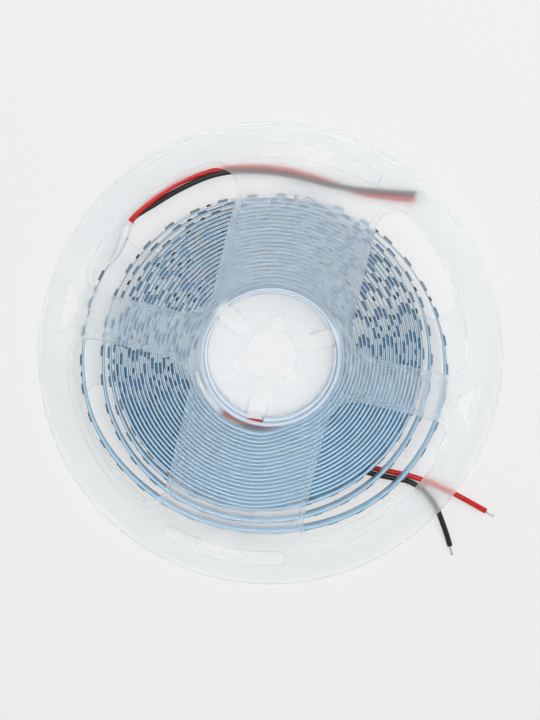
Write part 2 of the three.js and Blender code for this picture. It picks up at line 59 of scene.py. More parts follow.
# Flanges
FLANGE_RADIUS = 66
PLATE_THICKNESS = 1.3
BEAD_HEIGHT = 0.5
RIM_BEAD_WIDTH = 1.7
WINDOW_BEAD_WIDTH = 2.0
FRONT_TURN = -13.5
REAR_TURN = FRONT_TURN + 90
WIDE_SPOKE_HALF = 20.3
NARROW_SPOKE_HALF = 6.7
WINDOW_RADIUS = 56.2
INNER_CORNER_RADIUS = 8.3
OUTER_CORNER_RADIUS = 5.8
SLOT_MIDDLE_RADIUS = 58.7
SLOT_WIDTH = 4.1
SLOT_HALF_SPAN = 15.9
GATE_NUB_RADIUS = 1.1
TRIANGLE_BASE_RADIUS = 61.4
TRIANGLE_DEPTH = 9.0
TRIANGLE_HALF_SPAN = 6.6
TRIANGLE_SIDE_RADIUS = 15.9
TRIANGLE_TIP_RADIUS = 0.6
EDGE_ROUNDING = 0.22
EDGE_STEPS = 3
RIM_STEPS = 288
INNER_CORNER_STEPS = 14
CORNER_STEPS = 12
WINDOW_ARC_STEPS = 40
SLOT_ARC_STEPS = 28
TRIANGLE_ARC_STEPS = 14
TRIANGLE_TIP_STEPS = 8

# Beads: a foot, a round shoulder and a flat top
BEAD_FOOT = 0.25
BEAD_FOOT_RISE = 0.3
BEAD_SHOULDER = 0.45
BEAD_SHOULDER_STEPS = 4

# Hub
DRUM_RADIUS = 19.9
DRUM_WALL = 0.8
HUB_CLEARANCE = 0.2
TUBE_WALL = 0.8
TUBE_RECESS = 1.9
WEB_THICKNESS = 1.2
WEB_RECESS = 4.6
SPINDLE_HOLE_RADIUS = 7.2
KEY_SLOT_WIDTH = 3.1
KEY_SLOT_REACH = 11.4
WIRE_SLOT_WIDTH = 5.0
WIRE_SLOT_REACH = 9.2
SLOT_COUNT = 3
HUB_STEPS = 144
HUB_FILLET = 0.3
WEB_FILLET = 0.4
CUT_MARGIN = 1
BORE_RADIUS = DRUM_RADIUS - DRUM_WALL
TUBE_RADIUS = BORE_RADIUS - HUB_CLEARANCE
TUBE_INNER_RADIUS = TUBE_RADIUS - TUBE_WALL

# Strip and its chips
STRIP_WIDTH = 8
STRIP_THICKNESS = 0.36
TAPE_THICKNESS = 0.15
STRIP_END_CLEARANCE = 0.6
FIRST_TURN_CLEARANCE = 0.32
TIGHT_TURNS = 20.6
ROLL_BULGE = 1.8
BULGE_STARTS = (150, 190)
BULGE_ENDS = (258, 288)
STRIP_STEP = 3
SEGMENT = 25
SEGMENT_CHIPS = 3
CHIP_PITCH = SEGMENT / SEGMENT_CHIPS
CHIP_LENGTH = 2.8
CHIP_WIDTH = 3.5
CHIP_HEIGHT = 0.65
CHIP_CHAMFER = 0.1
LENS_SIDES = 14
LENS_RADIUS = 1.05
LENS_RISE = 0.02
RESISTOR_LENGTH = 1.25
RESISTOR_WIDTH = 2.0
RESISTOR_HEIGHT = 0.5
RESISTOR_CHAMFER = 0.08
PAD_REACH = 1.9
PAD_HALF_WIDTH = 0.95
PAD_OFFSET = 2.3
PAD_HEIGHT = 0.05
PAD_SINK = 0.02
PAD_STEPS = 8

# Leads and sleeves
LEAD_DIAMETER = 1.6
LEAD_CLEARANCE = 0.2
PAIR_SPACING = 1.72
LEAD_SPAN_STEPS = 6
LEAD_BEVEL_STEPS = 6
TIP_DIAMETER = 0.75
TIP_LENGTH = 2.6
TIP_GAP = 0.3
STRANDS = 6
STRAND_RADIUS = 0.135
STRAND_STEPS = 14
STRAND_SIDES = 8
STRAND_TWIST = 150
SLEEVE_START_HALF = 0.62
SLEEVE_END_HALF = 1.25
SLEEVE_COVER = 9.4
SLEEVE_SIDE_WALL = 0.4
SLEEVE_OVER_LEADS = 1.4
SLEEVE_WALL = 0.24
SLEEVE_PAIR_MARGIN = 0.3
SLEEVE_SECTION = 28
SLEEVE_ROUNDNESS = (0.7, 0.45)
SLEEVE_SPAN_STEPS = 8
SLEEVE_STRIP_STEPS = 12

# Heights
REAR_INNER_FACE = BEAD_HEIGHT + PLATE_THICKNESS
STRIP_BOTTOM = REAR_INNER_FACE + LEAD_DIAMETER + 2 * LEAD_CLEARANCE
STRIP_TOP = STRIP_BOTTOM + STRIP_WIDTH
STRIP_MIDDLE = (STRIP_BOTTOM + STRIP_TOP) / 2
FRONT_INNER_FACE = STRIP_TOP + STRIP_END_CLEARANCE
FRONT_OUTER_FACE = FRONT_INNER_FACE + PLATE_THICKNESS
REEL_HEIGHT = FRONT_OUTER_FACE + BEAD_HEIGHT
LEAD_FLOOR = REAR_INNER_FACE + LEAD_CLEARANCE + LEAD_DIAMETER / 2
FIRST_TURN_RADIUS = DRUM_RADIUS + FIRST_TURN_CLEARANCE + STRIP_THICKNESS / 2
SLEEVE_LIFT = DRUM_RADIUS + FIRST_TURN_CLEARANCE + SLEEVE_END_HALF - FIRST_TURN_RADIUS

# The outer turns have sprung off the roll: (angle along the winding, radius)
LOOSE_TURNS = [
    (140, 52.6), (176, 53.4), (200, 54.2), (230, 52.7), (270, 51.3), (310, 52.1), (336, 51.5),
    (360, 50.0), (385, 47.5), (410, 46.2), (450, 45.3), (465, 45.5), (490, 46.4), (515, 47.0),
    (540, 47.7), (560, 48.8), (590, 49.2), (630, 48.2), (670, 47.1), (720, 45.7), (765, 44.7),
    (810, 44.3), (830, 44.4), (875, 45.0), (920, 46.2), (950, 46.3), (1003, 44.3), (1040, 43.7),
    (1080, 43.3),
]
OUTER_END = LOOSE_TURNS[0][0]
LOOSE_END, LOOSE_END_RADIUS = LOOSE_TURNS[-1]
INNER_END = LOOSE_END + 360 * TIGHT_TURNS
TURN_PITCH = (LOOSE_END_RADIUS - FIRST_TURN_RADIUS) / TIGHT_TURNS

# Routes of the lead pairs: (x, y, rise above a lead that lies on the rear flange, roll of the
# pair). A roll of 0 has the red lead on the left of the black one, and 90 has it on top.
OUTER_ROUTE = [
    (-40.5, 37.0, 5.0, 90), (-38.7, 39.5, 4.9, 80), (-36.5, 41.3, 4.7, 62),
    (-33.6, 43.3, 4.3, 40), (-29.7, 45.9, 3.7, 18), (-25.4, 48.3, 3.1, -8),
    (-20.0, 50.6, 2.3, -35), (-15.7, 51.8, 1.7, -55), (-10.5, 52.6, 1.2, -60),
    (-3.2, 52.7, 1.0, -50), (4.0, 51.9, 0.9, -50), (11.5, 50.2, 0.9, -60),
    (18.5, 48.2, 0.9, -80), (25.0, 46.6, 0.9, -120), (32.0, 45.6, 0.7, -150),
    (41.5, 44.8, 0.2, -178),
]
# The inner pair starts at the strip's inner end, at an angle, with a rise and a roll
INNER_START_ANGLE = 227
INNER_START = (5.0, 90)
INNER_ROUTE = [
    (-12.9, -17.2, 4.2, 90), (-10.7, -18.6, 2.4, 85), (-8.4, -19.9, 1.1, 65),
    (-5.8, -20.8, 0.3, 25), (-3.1, -21.4, 0.0, 0), (2.6, -22.9, 0.0, 0), (8.0, -25.3, 0.0, 0),
    (14.5, -28.3, 0.0, 0), (21.5, -31.6, 0.0, 0), (29.0, -34.6, 0.0, 0), (35.6, -36.1, 0.0, 0),
    (41.1, -37.4, 0.0, 0),
]
# Where the inner pair parts, each lead goes on alone: (x, y, rise)
INNER_RED_END = [
    (47.8, -38.9, 0.0), (53.0, -41.3, 0.0), (57.0, -43.5, -0.2), (61.0, -45.9, -1.2),
    (63.0, -47.1, -1.8),
]
INNER_BLACK_END = [
    (45.6, -41.6, 0.0), (48.6, -46.0, 0.0), (50.4, -50.4, -0.2), (52.0, -55.0, -1.4),
    (52.7, -57.4, -1.8),
]


# Materials

def new_material(name, color, roughness, constants=None):
    """A Principled material with its constants set, and its node tree and shader."""
    material = bpy.data.materials.new(name)
    material.use_nodes = True
    shader = material.node_tree.nodes["Principled BSDF"]
    shader.inputs["Base Color"].default_value = (*color, 1)
    shader.inputs["Roughness"].default_value = roughness
    for socket, value in (constants or {}).items():
        shader.inputs[socket].default_value = value
    return material, material.node_tree, shader


def object_noise(tree, scale, detail):
    """Noise over the object's own coordinates, in features per metre."""
    place = tree.nodes.new("ShaderNodeTexCoord")
    noise = tree.nodes.new("ShaderNodeTexNoise")
    noise.inputs["Scale"].default_value = scale
    noise.inputs["Detail"].default_value = detail
    tree.links.new(place.outputs["Object"], noise.inputs["Vector"])
    return noise


def colour_between(tree, shader, noise, low, high):
    """The base colour wanders between two colours with a noise."""
    ramp = tree.nodes.new("ShaderNodeValToRGB")
    ramp.color_ramp.elements[0].position = 0.3
    ramp.color_ramp.elements[0].color = (*low, 1)
    ramp.color_ramp.elements[1].position = 0.7
    ramp.color_ramp.elements[1].color = (*high, 1)
    tree.links.new(noise.outputs["Fac"], ramp.inputs["Fac"])
    tree.links.new(ramp.outputs["Color"], shader.inputs["Base Color"])


def roughness_between(tree, shader, noise, low, high):
    """The roughness wanders between two values with a noise."""
    spread = tree.nodes.new("ShaderNodeMapRange")
    spread.inputs["To Min"].default_value = low
    spread.inputs["To Max"].default_value = high
    tree.links.new(noise.outputs["Fac"], spread.inputs["Value"])
    tree.links.new(spread.outputs["Result"], shader.inputs["Roughness"])


def bump(tree, shader, noise, height_mm, strength):
    """Fine relief from a noise."""
    relief = tree.nodes.new("ShaderNodeBump")
    relief.inputs["Distance"].default_value = height_mm * MM
    relief.inputs["Strength"].default_value = strength
    tree.links.new(noise.outputs["Fac"], relief.inputs["Height"])
    tree.links.new(relief.outputs["Normal"], shader.inputs["Normal"])


def see_through(tree, shader, share, light_share, tint):
    """Mixes in light that passes straight: one share of what is seen, and a larger one of the
    lamps' light, which a scattering plate lets through as well."""
    path = tree.nodes.new("ShaderNodeLightPath")
    shares = tree.nodes.new("ShaderNodeMath")
    shares.operation = "MULTIPLY_ADD"
    shares.inputs[1].default_value = light_share - share
    shares.inputs[2].default_value = share
    passing = tree.nodes.new("ShaderNodeBsdfTransparent")
    passing.inputs["Color"].default_value = (*tint, 1)
    mix = tree.nodes.new("ShaderNodeMixShader")
    tree.links.new(path.outputs["Is Shadow Ray"], shares.inputs[0])
    tree.links.new(shares.outputs[0], mix.inputs["Fac"])
    tree.links.new(shader.outputs["BSDF"], mix.inputs[1])
    tree.links.new(passing.outputs["BSDF"], mix.inputs[2])
    tree.links.new(mix.outputs["Shader"], tree.nodes["Material Output"].inputs["Surface"])


def frosted_plastic():
    """Translucent moulded plastic: its satin surface scatters what lies behind it, the more the
    further behind, and a faint milkiness lies over it."""
    material, tree, shader = new_material("frosted_plastic", (0.955, 0.966, 0.97), 0.75, {
        "Transmission Weight": 0.9, "IOR": 1.13, "Coat Weight": 0.1, "Coat Roughness": 0.3,
    })
    grain = object_noise(tree, 700, 3)
    roughness_between(tree, shader, grain, 0.7, 0.8)
    see_through(tree, shader, 0.38, 0.68, (0.955, 0.966, 0.97))
    return material


def hub_wall_painted_glow():
    """The same plastic in the hub's deep walls. Their pale blue colour and tint are a painted glow
    that stands in for the light of the blue tape behind them. The walls also hide what lies
    further back."""
    material, tree, shader = new_material("hub_wall_painted_glow", (0.82, 0.91, 0.99), 0.7, {
        "Transmission Weight": 0.3, "IOR": 1.13,
    })
    grain = object_noise(tree, 700, 3)
    roughness_between(tree, shader, grain, 0.65, 0.75)
    see_through(tree, shader, 0.1, 0.75, (0.93, 0.96, 0.98))
    return material


def strip_board():
    """White solder mask with the faint relief of the copper tracks under it."""
    material, tree, shader = new_material("strip_board", (0.92, 0.93, 0.94), 0.45)
    grain = object_noise(tree, 900, 2)
    colour_between(tree, shader, grain, (0.89, 0.91, 0.93), (0.94, 0.95, 0.96))
    bump(tree, shader, grain, 0.01, 0.4)
    return material


def strip_edge_painted_shade():
    """Cut edge of the board: layers of copper, film and mask, coloured dark slate as a painted
    shade along the edges between the turns.
    """
    material, tree, shader = new_material("strip_edge_painted_shade", (0.14, 0.18, 0.22), 0.5)
    grain = object_noise(tree, 2500, 2)
    colour_between(tree, shader, grain, (0.1, 0.13, 0.16), (0.19, 0.24, 0.29))
    return material


def release_tape():
    """Pale blue release paper on the strip's back."""
    material, tree, shader = new_material("release_tape", (0.46, 0.72, 0.93), 0.4)
    grain = object_noise(tree, 350, 4)
    colour_between(tree, shader, grain, (0.4, 0.67, 0.9), (0.52, 0.77, 0.95))
    bump(tree, shader, grain, 0.03, 0.5)
    return material


def chip_body_painted_shade():
    """Chip case, white in the real part, coloured dark slate blue: painted shade for the gaps
    between the turns, and a painted reflection of the blue tape.
    """
    material, tree, shader = new_material("chip_body_painted_shade", (0.12, 0.18, 0.25), 0.4)
    grain = object_noise(tree, 1200, 2)
    colour_between(tree, shader, grain, (0.08, 0.13, 0.19), (0.18, 0.25, 0.33))
    return material


def phosphor():
    material, tree, shader = new_material("phosphor", (0.82, 0.66, 0.22), 0.35)
    grain = object_noise(tree, 3000, 2)
    colour_between(tree, shader, grain, (0.76, 0.58, 0.16), (0.88, 0.74, 0.3))
    return material


def resistor_body():
    material, tree, shader = new_material("resistor_body", (0.012, 0.014, 0.02), 0.35)
    grain = object_noise(tree, 2500, 2)
    roughness_between(tree, shader, grain, 0.25, 0.45)
    return material


def solder():
    material, tree, shader = new_material("solder", (0.66, 0.67, 0.68), 0.3, {"Metallic": 1.0})
    grain = object_noise(tree, 2500, 2)
    roughness_between(tree, shader, grain, 0.22, 0.42)
    bump(tree, shader, grain, 0.01, 0.5)
    return material


def insulation(name, color, darker):
    """Lead insulation: satin extruded plastic with a slow wander of its colour."""
    material, tree, shader = new_material(name, color, 0.38, {"Specular IOR Level": 0.3})
    grain = object_noise(tree, 260, 3)
    colour_between(tree, shader, grain, darker, color)
    bump(tree, shader, grain, 0.03, 0.4)
    return material


def heat_shrink():
    """Clear heat-shrink tube that has gone milky."""
    material, tree, shader = new_material("heat_shrink", (0.93, 0.95, 0.96), 0.3, {
        "Transmission Weight": 0.25, "IOR": 1.3, "Coat Weight": 0.3, "Coat Roughness": 0.25,
    })
    grain = object_noise(tree, 300, 2)
    roughness_between(tree, shader, grain, 0.26, 0.34)
    see_through(tree, shader, 0.35, 0.7, (0.96, 0.98, 0.99))
    return material


# Paths

def on_circle(radius, angle, centre=(0, 0)):
    a = math.radians(angle)
    return Vector((centre[0] + radius * math.cos(a), centre[1] + radius * math.sin(a)))


def arc(centre, radius, start, end, steps):
    return [on_circle(radius, start + (end - start) * i / steps, centre) for i in range(steps + 1)]


def circle(radius, steps, centre=(0, 0)):
    return arc(centre, radius, 0, 360, steps)[:-1]


def direction_at(points, i):
    """Direction of a line of points at one of them."""
    return (points[min(i + 1, len(points) - 1)] - points[max(i - 1, 0)]).normalized()


def hermite(start, leave, end, reach, t):
    """Value between a start and an end with a slope at each."""
    return (
        start * (2 * t ** 3 - 3 * t ** 2 + 1) + leave * (t ** 3 - 2 * t ** 2 + t)
        + end * (3 * t ** 2 - 2 * t ** 3) + reach * (t ** 3 - t ** 2)
    )


def smooth_path(points, steps_per_span):
    """Centripetal Catmull-Rom curve through the points."""
    ends = [2 * points[0] - points[1], *points, 2 * points[-1] - points[-2]]
    path = []
    for before, start, end, after in zip(ends, ends[1:], ends[2:], ends[3:]):
        first = math.sqrt((start - before).length)
        middle = math.sqrt((end - start).length)
        last = math.sqrt((after - end).length)
        chord = (end - start) / middle
        leave = (start - before) / first - (end - before) / (first + middle) + chord
        reach = chord - (after - start) / (middle + last) + (after - end) / last
        for i in range(steps_per_span):
            t = i / steps_per_span
            path.append(hermite(start, leave * middle, end, reach * middle, t))
    return [*path, points[-1].copy()]


def path_length(points):
    """Length of a line of points."""
    return sum((b - a).length for a, b in zip(points, points[1:]))


# Camera, floor and light

def make_camera():
    """The photograph's camera."""
    tilt = math.radians(CAMERA_TILT)
    side = math.radians(CAMERA_SIDE)
    level = math.cos(tilt)
    back = Vector((level * math.sin(side), math.sin(tilt), level * math.cos(side)))
    up = Vector((0, back.z, -back.y)).normalized()
    right = up.cross(back)
    data = bpy.data.cameras.new("camera")
    data.lens = CAMERA_LENS
    data.sensor_width = CAMERA_SENSOR
    data.clip_start = 0.01
    data.clip_end = 20
    camera = bpy.data.objects.new("camera", data)
    bpy.context.scene.collection.objects.link(camera)
    place = (Vector(CAMERA_TARGET) + back * CAMERA_DISTANCE) * MM
    turn = Matrix((right, up, back)).transposed().to_4x4()
    camera.matrix_world = Matrix.Translation(place) @ turn
    bpy.context.scene.camera = camera


def seen_directly(tree):
    """1 for rays that come from the camera straight, off a gloss or through a clear piece."""
    path = tree.nodes.new("ShaderNodeLightPath")
    total = path.outputs["Is Camera Ray"]
    for name in ("Is Glossy Ray", "Is Transmission Ray"):
        add = tree.nodes.new("ShaderNodeMath")
        add.operation = "MAXIMUM"
        tree.links.new(total, add.inputs[0])
        tree.links.new(path.outputs[name], add.inputs[1])
        total = add.outputs[0]
    return total


BACKDROP = (0.855, 0.855, 0.855, 1)
FLOOR_GLOW = 0.62
FLOOR_SIZE_M = 6
FLOOR_DROP = 0.05
WORLD_LIGHT = 0.55
LAMP_SIZE_M = 0.7
LAMP_POWER = 6.0
LAMP_PLACE_M = (0.2, 0.32, 0.95)


def make_floor():
    """Pale floor just below the reel. A share of it glows for rays that see it directly, and
    the rest takes the reel's shadow."""
    material, tree, shader = new_material("floor", BACKDROP[:3], 0.8, {"Specular IOR Level": 0.1})
    glow = tree.nodes.new("ShaderNodeEmission")
    glow.inputs["Color"].default_value = BACKDROP
    share = tree.nodes.new("ShaderNodeMath")
    share.operation = "MULTIPLY"
    share.inputs[1].default_value = FLOOR_GLOW
    mix = tree.nodes.new("ShaderNodeMixShader")
    tree.links.new(seen_directly(tree), share.inputs[0])
    tree.links.new(share.outputs[0], mix.inputs["Fac"])
    tree.links.new(shader.outputs["BSDF"], mix.inputs[1])
    tree.links.new(glow.outputs["Emission"], mix.inputs[2])
    tree.links.new(mix.outputs["Shader"], tree.nodes["Material Output"].inputs["Surface"])
    bpy.ops.mesh.primitive_plane_add(size=FLOOR_SIZE_M, location=(0, 0, -FLOOR_DROP * MM))
    floor = bpy.context.object
    floor.name = "floor"
    floor.data.materials.append(material)


def make_light():
    """Even light from the world and one soft lamp above, a little behind the reel."""
    world = bpy.data.worlds.new("studio")
    bpy.context.scene.world = world
    world.use_nodes = True
    tree = world.node_tree
    background = tree.nodes["Background"]
    background.inputs["Color"].default_value = (1, 1, 1, 1)
    background.inputs["Strength"].default_value = WORLD_LIGHT
    seen = tree.nodes.new("ShaderNodeBackground")
    seen.inputs["Color"].default_value = BACKDROP
    mix = tree.nodes.new("ShaderNodeMixShader")
    path = tree.nodes.new("ShaderNodeLightPath")
    tree.links.new(path.outputs["Is Camera Ray"], mix.inputs["Fac"])
    tree.links.new(background.outputs["Background"], mix.inputs[1])
    tree.links.new(seen.outputs["Background"], mix.inputs[2])
    tree.links.new(mix.outputs["Shader"], tree.nodes["World Output"].inputs["Surface"])
    data = bpy.data.lights.new("softbox", "AREA")
    data.shape = "SQUARE"
    data.size = LAMP_SIZE_M
    data.energy = LAMP_POWER
    lamp = bpy.data.objects.new("softbox", data)
    bpy.context.scene.collection.objects.link(lamp)
    lamp.location = LAMP_PLACE_M
    lamp.rotation_mode = "QUATERNION"
    lamp.rotation_quaternion = lamp.location.to_track_quat("Z", "Y")


# Leads

def pair_points(route):
    """The centre lines of the red and the black lead, side by side along a route."""
    middles = [Vector((x, y, LEAD_FLOOR + rise)) for x, y, rise, _ in route]
    red = []
    black = []
    for i, middle in enumerate(middles):
        forward = direction_at(middles, i)
        left = Vector((-forward.y, forward.x, 0)).normalized()
        above = forward.cross(left)
        roll = math.radians(route[i][3])
        offset = (left * math.cos(roll) + above * math.sin(roll)) * PAIR_SPACING / 2
        red.append(middle + offset)
        black.append(middle - offset)
    return red, black


def end_points(points):
    return [Vector((x, y, LEAD_FLOOR + rise)) for x, y, rise in points]


def make_curve(name, path, radius, material):
    data = bpy.data.curves.new(name, "CURVE")
    data.dimensions = "3D"
    data.bevel_depth = radius * MM
    data.bevel_resolution = LEAD_BEVEL_STEPS
    data.use_fill_caps = True
    spline = data.splines.new("POLY")
    spline.points.add(len(path) - 1)
    for point, place in zip(spline.points, path):
        point.co = (*(place * MM), 1)
    data.materials.append(material)
    piece = bpy.data.objects.new(name, data)
    bpy.context.scene.collection.objects.link(piece)
    return piece


def make_lead(name, points, material, tip_material):
    """A lead along a line of points, with its bare end."""
    path = smooth_path(points, LEAD_SPAN_STEPS)
    lead = make_curve(f"{name}_lead_cord", path, LEAD_DIAMETER / 2, material)
    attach(lead, BODY)
    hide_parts(f"{name}_lead")
    tip = make_tip(name, path, tip_material)
    print(name, "lead is", round(path_length(path), 2), "mm long")


def make_tip(name, path, material):
    """Bare tinned end: strands laid round a core, in line with the last stretch of the lead."""
    along = path[-1] - path[-2]
    along.z = 0
    along.normalize()
    across = Vector((-along.y, along.x, 0))
    start = path[-1] - along * TIP_GAP
    reach = TIP_LENGTH + 2 * TIP_GAP
    ring = TIP_DIAMETER / 2 - STRAND_RADIUS
    mesh = bmesh.new()
    for strand in range(STRANDS + 1):
        offset = 0 if strand == STRANDS else ring
        spine = []
        for i in range(STRAND_STEPS + 1):
            share = i / STRAND_STEPS
            turn = math.radians(360 * strand / STRANDS + STRAND_TWIST * share)
            side = across * math.cos(turn) + Vector((0, 0, 1)) * math.sin(turn)
            spine.append(start + along * reach * share + side * offset)
        add_tube(mesh, spine, STRAND_RADIUS, STRAND_SIDES)
    tip = finish_mesh(f"{name}_tip_strands", mesh, [material])
    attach(tip, BODY)
    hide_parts(f"{name}_tip")
    return tip


# Mesh helpers

def add_loop(mesh, points, z=None):
    return [mesh.verts.new((p.x * MM, p.y * MM, (p.z if z is None else z) * MM)) for p in points]


def bridge(mesh, first, second, material_index=0):
    """Smooth faces between two closed loops of as many points."""
    faces = []
    for i in range(len(first)):
        j = (i + 1) % len(first)
        face = mesh.faces.new((first[i], first[j], second[j], second[i]))
        face.material_index = material_index
        face.smooth = True
        faces.append(face)
    return faces


def bridge_all(mesh, rings):
    for first, second in zip(rings, rings[1:]):
        bridge(mesh, first, second)


def fill(mesh, loops):
    """Flat triangles between an outer loop and the loops of its holes."""
    corners = [v for loop in loops for v in loop]
    for triangle in tessellate_polygon([[v.co for v in loop] for loop in loops]):
        mesh.faces.new([corners[i] for i in triangle]).smooth = True


def add_tube(mesh, spine, radius, sides):
    """Round tube along a line of points, with closed ends."""
    rings = []
    for i, point in enumerate(spine):
        along = direction_at(spine, i)
        side = along.cross(Vector((0, 0, 1)))
        side = side.normalized() if side.length > 1e-6 else Vector((1, 0, 0))
        up = side.cross(along)
        ring = []
        for k in range(sides):
            a = 2 * math.pi * k / sides
            spoke = (side * math.cos(a) + up * math.sin(a)) * radius
            ring.append(mesh.verts.new((point + spoke) * MM))
        rings.append(ring)
    bridge_all(mesh, rings)
    mesh.faces.new(rings[0][::-1])
    mesh.faces.new(rings[-1])


def finish_mesh(name, mesh, materials):
    bmesh.ops.recalc_face_normals(mesh, faces=mesh.faces)
    data = bpy.data.meshes.new(name)
    mesh.to_mesh(data)
    mesh.free()
    for material in materials:
        data.materials.append(material)
    piece = bpy.data.objects.new(name, data)
    bpy.context.scene.collection.objects.link(piece)
    return piece


def weigh_normals(piece):
    modifier = piece.modifiers.new("weighted normals", "WEIGHTED_NORMAL")
    modifier.mode = "FACE_AREA"
    modifier.weight = 100


# Flange outlines, in a frame with the narrow spokes along X and the wide ones along Y

def turned(points, angle):
    turn = Matrix.Rotation(math.radians(angle), 2)
    return [turn @ p for p in points]


def grown(points, distance):
    """A counter-clockwise outline moved outwards."""
    moved = []
    count = len(points)
    for i, point in enumerate(points):
        before = (point - points[i - 1]).normalized()
        after = (points[(i + 1) % count] - point).normalized()
        normal = Vector((before.y + after.y, -before.x - after.x))
        normal = normal / max(normal.length_squared / 2, 1e-9)
        moved.append(point + normal * distance)
    return moved


def window_outline():
    """Window between +X and +Y, clockwise from its inner corner."""
    reach = WINDOW_RADIUS - OUTER_CORNER_RADIUS
    inner = (WIDE_SPOKE_HALF + INNER_CORNER_RADIUS, NARROW_SPOKE_HALF + INNER_CORNER_RADIUS)
    wide_x = WIDE_SPOKE_HALF + OUTER_CORNER_RADIUS
    wide = (wide_x, math.sqrt(reach ** 2 - wide_x ** 2))
    narrow_y = NARROW_SPOKE_HALF + OUTER_CORNER_RADIUS
    narrow = Vector((math.sqrt(reach ** 2 - narrow_y ** 2), narrow_y))
    wide_angle = math.degrees(math.atan2(wide[1], wide[0]))
    narrow_angle = math.degrees(math.atan2(narrow.y, narrow.x))
    return [
        *arc(inner, INNER_CORNER_RADIUS, 270, 180, INNER_CORNER_STEPS),
        *arc(wide, OUTER_CORNER_RADIUS, 180, wide_angle, CORNER_STEPS),
        *arc((0, 0), WINDOW_RADIUS, wide_angle, narrow_angle, WINDOW_ARC_STEPS)[1:-1],
        *arc(narrow, OUTER_CORNER_RADIUS, narrow_angle, -90, CORNER_STEPS),
    ]


def four_windows():
    quarter = window_outline()
    outlines = []
    for sx, sy in ((1, 1), (-1, 1), (-1, -1), (1, -1)):
        outline = [Vector((p.x * sx, p.y * sy)) for p in quarter]
        outlines.append(outline[::-1] if sx * sy > 0 else outline)
    return outlines


def arc_slot_outline(middle_angle, nub):
    """Arc slot with round ends, counter-clockwise. The gate's nub stands in its outer edge."""
    half = SLOT_WIDTH / 2
    start = middle_angle - SLOT_HALF_SPAN
    end = middle_angle + SLOT_HALF_SPAN
    first = on_circle(SLOT_MIDDLE_RADIUS, start)
    last = on_circle(SLOT_MIDDLE_RADIUS, end)
    outer = SLOT_MIDDLE_RADIUS + half
    if nub:
        gap = math.degrees(GATE_NUB_RADIUS / outer)
        middle = on_circle(outer, middle_angle)
        turn = (middle_angle - 90, middle_angle - 270)
        outer_edge = [
            *arc((0, 0), outer, start, middle_angle - gap, SLOT_ARC_STEPS // 2),
            *arc(middle, GATE_NUB_RADIUS, *turn, CORNER_STEPS)[1:-1],
            *arc((0, 0), outer, middle_angle + gap, end, SLOT_ARC_STEPS // 2),
        ]
    else:
        outer_edge = arc((0, 0), outer, start, end, SLOT_ARC_STEPS)
    return [
        *outer_edge,
        *arc(last, half, end, end + 180, CORNER_STEPS)[1:-1],
        *arc((0, 0), SLOT_MIDDLE_RADIUS - half, end, start, SLOT_ARC_STEPS),
        *arc(first, half, start + 180, start + 360, CORNER_STEPS)[1:-1],
    ]


def triangle_outline():
    """Three-sided hole on the +X spoke, counter-clockwise from one end of its base."""
    span = TRIANGLE_HALF_SPAN
    side = TRIANGLE_SIDE_RADIUS + TRIANGLE_TIP_RADIUS
    tip = on_circle(TRIANGLE_BASE_RADIUS - TRIANGLE_TIP_RADIUS, span)
    apex = on_circle(TRIANGLE_BASE_RADIUS - TRIANGLE_DEPTH + TRIANGLE_TIP_RADIUS, 0)
    chord = tip - apex
    rise = math.sqrt(side ** 2 - chord.length_squared / 4)
    centre = apex + chord / 2 + Vector((-chord.y, chord.x)).normalized() * rise
    side_start = math.degrees(math.atan2(tip.y - centre.y, tip.x - centre.x))
    side_end = math.degrees(math.atan2(apex.y - centre.y, apex.x - centre.x))
    half = [
        *arc(tip, TRIANGLE_TIP_RADIUS, span, side_start + 180, TRIANGLE_TIP_STEPS),
        *arc(centre, TRIANGLE_SIDE_RADIUS, side_start, side_end, TRIANGLE_ARC_STEPS)[1:],
        *arc(apex, TRIANGLE_TIP_RADIUS, side_end + 180, 180, TRIANGLE_TIP_STEPS // 2)[1:],
    ]
    mirrored = [Vector((p.x, -p.y)) for p in half[::-1]]
    base = arc((0, 0), TRIANGLE_BASE_RADIUS, -span, span, TRIANGLE_ARC_STEPS)
    return [*half, *mirrored[1:], *base[1:-1]]


def flange_holes(turn):
    """The outlines of the windows, and those of the slots and three-sided holes."""
    windows = [turned(outline, turn) for outline in four_windows()]
    other = [
        arc_slot_outline(90, True),
        arc_slot_outline(-90, False),
        triangle_outline(),
        [Vector((-p.x, -p.y)) for p in triangle_outline()],
    ]
    return windows, [turned(outline, turn) for outline in other]


def bead_profile(width):
    """(distance from the foot, rise) over a bead, from its foot to the edge of its flat top. A
    width of 0 stands for an edge without a bead."""
    if not width:
        return [(-EDGE_ROUNDING, 0.0)]
    foot = BEAD_HEIGHT * BEAD_FOOT_RISE
    profile = [(0.0, 0.0), (BEAD_FOOT * 0.6, BEAD_HEIGHT * 0.08), (BEAD_FOOT, foot)]
    for i in range(1, BEAD_SHOULDER_STEPS + 1):
        a = math.pi / 2 * i / BEAD_SHOULDER_STEPS
        rise = foot + (BEAD_HEIGHT - foot) * math.sin(a)
        profile.append((BEAD_FOOT + BEAD_SHOULDER * (1 - math.cos(a)), rise))
    profile.append((width - EDGE_ROUNDING, BEAD_HEIGHT))
    return profile


def edge_down(start, end):
    """(distance in, level) over a rounded outer edge, down a wall and over the other edge, from
    one level to another. The distance is 0 where the rounding begins."""
    sink = math.copysign(EDGE_ROUNDING, start - end)
    turns = [math.pi / 2 * i / EDGE_STEPS for i in range(EDGE_STEPS + 1)]
    over = [(EDGE_ROUNDING * math.sin(a), start - sink * (1 - math.cos(a))) for a in turns[1:]]
    under = [(EDGE_ROUNDING * math.cos(a), end + sink * (1 - math.sin(a))) for a in turns]
    return [*over, *under]


